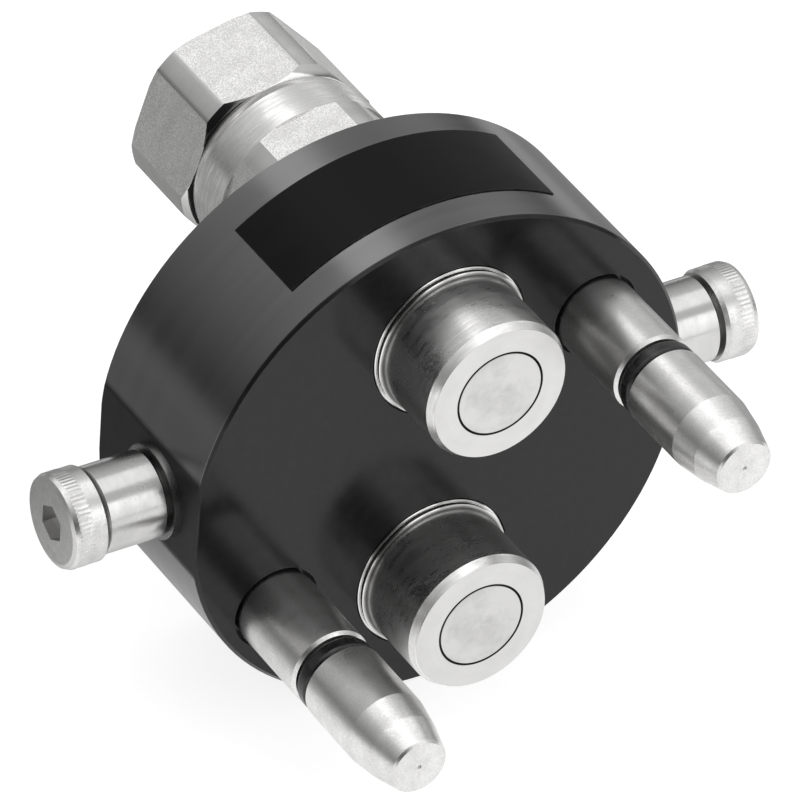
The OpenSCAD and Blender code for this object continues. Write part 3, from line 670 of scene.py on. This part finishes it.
def knurl_heads(material):
    """The fine straight knurl on both screw heads, one piece."""
    mesh = grow("screw_head_knurls", make_knurl_tree(), {
        "Ridges": KNURL_RIDGES, "Radius": HEAD_R, "Proud": KNURL_PROUD, "Width": KNURL_WIDTH,
        "Length": KNURL_LENGTH, "Head Distance": KNURL_MIDDLE_X, "Axis Y": ROLLER_Y, "Material": material})
    piece = bpy.data.objects.new("screw_head_knurls", mesh)
    bpy.context.scene.collection.objects.link(piece)
    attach(piece, "plate_body")


def cut_thread(name, height, tree, material):
    """The port end with its full inside thread, which the solid has as a plain bore of the minor diameter."""
    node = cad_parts[name + "_port_end"]
    shape = bmesh.new()
    shape.from_mesh(node.data)
    bmesh.ops.remove_doubles(shape, verts=shape.verts, dist=1e-6)
    wall_end = PORT_END_Y - (PORT_MOUTH_R - PORT_MINOR_R)
    for point in shape.verts:
        radius = math.hypot(point.co.x, point.co.z - height)
        if abs(radius - PORT_MINOR_R) < 2e-5 and point.co.y > PORT_WALL_START_Y - 2e-5:
            wider = PORT_MAJOR_R / radius
            point.co.x *= wider
            point.co.z = height + (point.co.z - height) * wider
            if point.co.y > wall_end - 2e-5:
                point.co.y = PORT_END_Y - (PORT_MOUTH_R - PORT_MAJOR_R)
    start = PORT_WALL_START_Y + THREAD_PITCH * 0.6
    turns = (PORT_END_Y - 0.0007 - THREAD_PITCH * 0.5 - start) / THREAD_PITCH
    ridge = grow(name + "_hose_thread", tree, {
        "Pitch": THREAD_PITCH, "Turns": turns, "Root Radius": PORT_MAJOR_R, "Crest Radius": PORT_MINOR_R,
        "Start": start, "Height": height, "Material": material})
    shape.from_mesh(ridge)
    bpy.data.meshes.remove(ridge)
    mesh = bpy.data.meshes.new(name + "_threaded_port_end")
    shape.to_mesh(mesh)
    shape.free()
    mesh.materials.clear()
    mesh.materials.append(material)
    mesh.shade_smooth()
    mesh.set_sharp_from_angle(angle=math.radians(THREAD_SHARP))
    piece = bpy.data.objects.new(name + "_threaded_port_end", mesh)
    bpy.context.scene.collection.objects.link(piece)
    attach(piece, name + "_coupler")
    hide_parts(name + "_port_end")


def free_spring(name):
    """A smooth-shaded copy of a valve spring, in place of the solid one."""
    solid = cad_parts[name + "_valve_spring"].data
    shape = bmesh.new()
    shape.from_mesh(solid)
    bmesh.ops.remove_doubles(shape, verts=shape.verts, dist=1e-6)
    mesh = solid.copy()
    mesh.name = name + "_coiled_spring"
    shape.to_mesh(mesh)
    shape.free()
    mesh.shade_smooth()
    mesh.set_sharp_from_angle(angle=math.radians(SPRING_SHARP))
    piece = bpy.data.objects.new(name + "_coiled_spring", mesh)
    bpy.context.scene.collection.objects.link(piece)
    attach(piece, name + "_coupler")
    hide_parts(name + "_valve_spring")
    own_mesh(piece)


# Studio


def place_camera():
    data = bpy.data.cameras.new("photo_camera")
    data.sensor_width = 36.0
    data.lens = CAMERA_LENS
    data.clip_start = 0.05
    camera = bpy.data.objects.new("photo_camera", data)
    camera.location = CAMERA_PLACE
    camera.rotation_euler = Euler([math.radians(turn) for turn in CAMERA_TURN])
    bpy.context.scene.collection.objects.link(camera)
    bpy.context.scene.camera = camera


def softbox(name, place, size, radiance):
    """A rectangular lamp that faces the plate, and whose own face has this radiance."""
    data = bpy.data.lights.new(name, "AREA")
    data.shape = "RECTANGLE"
    data.size, data.size_y = size
    data.energy = 4.0 * radiance * size[0] * size[1]
    lamp = bpy.data.objects.new(name, data)
    lamp.location = place
    aim = Vector((0, 0.01, 0)) - Vector(place)
    lamp.rotation_euler = aim.to_track_quat("-Z", "Y").to_euler()
    bpy.context.scene.collection.objects.link(lamp)


def lay_floor():
    """A pale floor, plain white to the camera. In the metal it also glows with painted light: bright in front
    of the plate, none close behind it, and half bright again far behind it on the right."""
    material = bpy.data.materials.new("studio_floor")
    material.use_nodes = True
    tree = material.node_tree
    tree.nodes.remove(tree.nodes["Principled BSDF"])
    matt = lay(tree, "ShaderNodeBsdfDiffuse", {"Color": (FLOOR_COLOUR, FLOOR_COLOUR, FLOOR_COLOUR, 1)})
    rays = lay(tree, "ShaderNodeLightPath").outputs
    mirrored = calc(tree, "MAXIMUM", rays["Is Glossy Ray"], rays["Is Transmission Ray"])
    across, depth, _ = parts_of(tree, lay(tree, "ShaderNodeTexCoord").outputs["Object"])
    # Painted light: the floor's glow in reflections, set by place on the floor, bright in front and none close
    # behind.
    far = spread(tree, across, -0.1, 0.1, FLOOR_PAINTED_GLOW_FAR_LEFT, FLOOR_PAINTED_GLOW_FAR_RIGHT)
    far = calc(tree, "MULTIPLY", spread(tree, depth, 0.19, 0.27), far)
    bright = calc(tree, "ADD", spread(tree, depth, 0.06, 0.0, 0.0, FLOOR_PAINTED_GLOW_FRONT), far)
    seen = calc(tree, "MULTIPLY", rays["Is Camera Ray"], FLOOR_SEEN)
    glow = calc(tree, "ADD", seen, calc(tree, "MULTIPLY", mirrored, bright))
    glow = lay(tree, "ShaderNodeEmission", {"Color": (1, 1, 1, 1), "Strength": glow})
    both = lay(tree, "ShaderNodeAddShader", {0: matt.outputs[0], 1: glow.outputs[0]})
    tree.links.new(both.outputs[0], tree.nodes["Material Output"].inputs["Surface"])
    mesh = bpy.data.meshes.new("studio_floor")
    corners = [(x * FLOOR_REACH, y * FLOOR_REACH, LOWEST_Z) for x, y in ((-1, -1), (1, -1), (1, 1), (-1, 1))]
    mesh.from_pydata(corners, [], [(0, 1, 2, 3)])
    mesh.materials.append(material)
    floor = bpy.data.objects.new("studio_floor", mesh)
    bpy.context.scene.collection.objects.link(floor)


def light_room():
    """The room, white to the camera. In the metal it is brighter upwards and to the right, with a pale
    stretch above that ends at a thin dark frame, and darkest where the camera stands."""
    world = bpy.data.worlds.new("studio")
    world.use_nodes = True
    tree = world.node_tree
    look = lay(tree, "ShaderNodeTexCoord").outputs["Generated"]
    x, y, z = parts_of(tree, look)
    room = spread(tree, z, 0.0, 0.75, ROOM_LOW, ROOM_HIGH)
    right = calc(tree, "MULTIPLY", spread(tree, x, 0.45, 0.65), spread(tree, z, 0.0, 0.25))
    room = calc(tree, "ADD", room, calc(tree, "MULTIPLY", right, ROOM_RIGHT))
    above = calc(tree, "MULTIPLY", spread(tree, x, -0.175, -0.15), spread(tree, x, 0.22, 0.1))
    above = calc(tree, "MULTIPLY", above, spread(tree, z, 0.5, 0.65))
    room = calc(tree, "ADD", room, calc(tree, "MULTIPLY", above, ROOM_BAND))
    frame_off = calc(tree, "ABSOLUTE", calc(tree, "SUBTRACT", x, BAND_EDGE_X))
    room = calc(tree, "MULTIPLY", room, spread(tree, frame_off, 0.008, 0.02, 0.5, 1.0))
    facing = lay(tree, "ShaderNodeVectorMath", {0: look, 1: CAMERA_SIDE}, operation="DOT_PRODUCT")
    room = calc(tree, "MULTIPLY", room, spread(tree, facing.outputs["Value"], 0.9, 0.97, 1.0, 0.03))
    seen = lay(tree, "ShaderNodeLightPath").outputs["Is Camera Ray"]
    tree.links.new(blend(tree, seen, room, 1.0), tree.nodes["Background"].inputs["Strength"])
    tree.nodes["Background"].inputs["Color"].default_value = (1, 1, 1, 1)
    bpy.context.scene.world = world


def light_studio():
    """A wide box overhead and a tall window in front on the right, in a dim room."""
    light_room()
    softbox("overhead_box", **OVERHEAD)
    softbox("front_window", **WINDOW)
    bpy.context.scene.view_settings.view_transform = "Standard"


place_camera()
lay_floor()
light_studio()
finishes = dress()
knurl_heads(finishes["roller_screws"])
thread_tree = make_thread_tree()
for name, height in (("upper", COUPLER_Z), ("lower", -COUPLER_Z)):
    cut_thread(name, height, thread_tree, finishes[name + "_port_end"])
    free_spring(name)
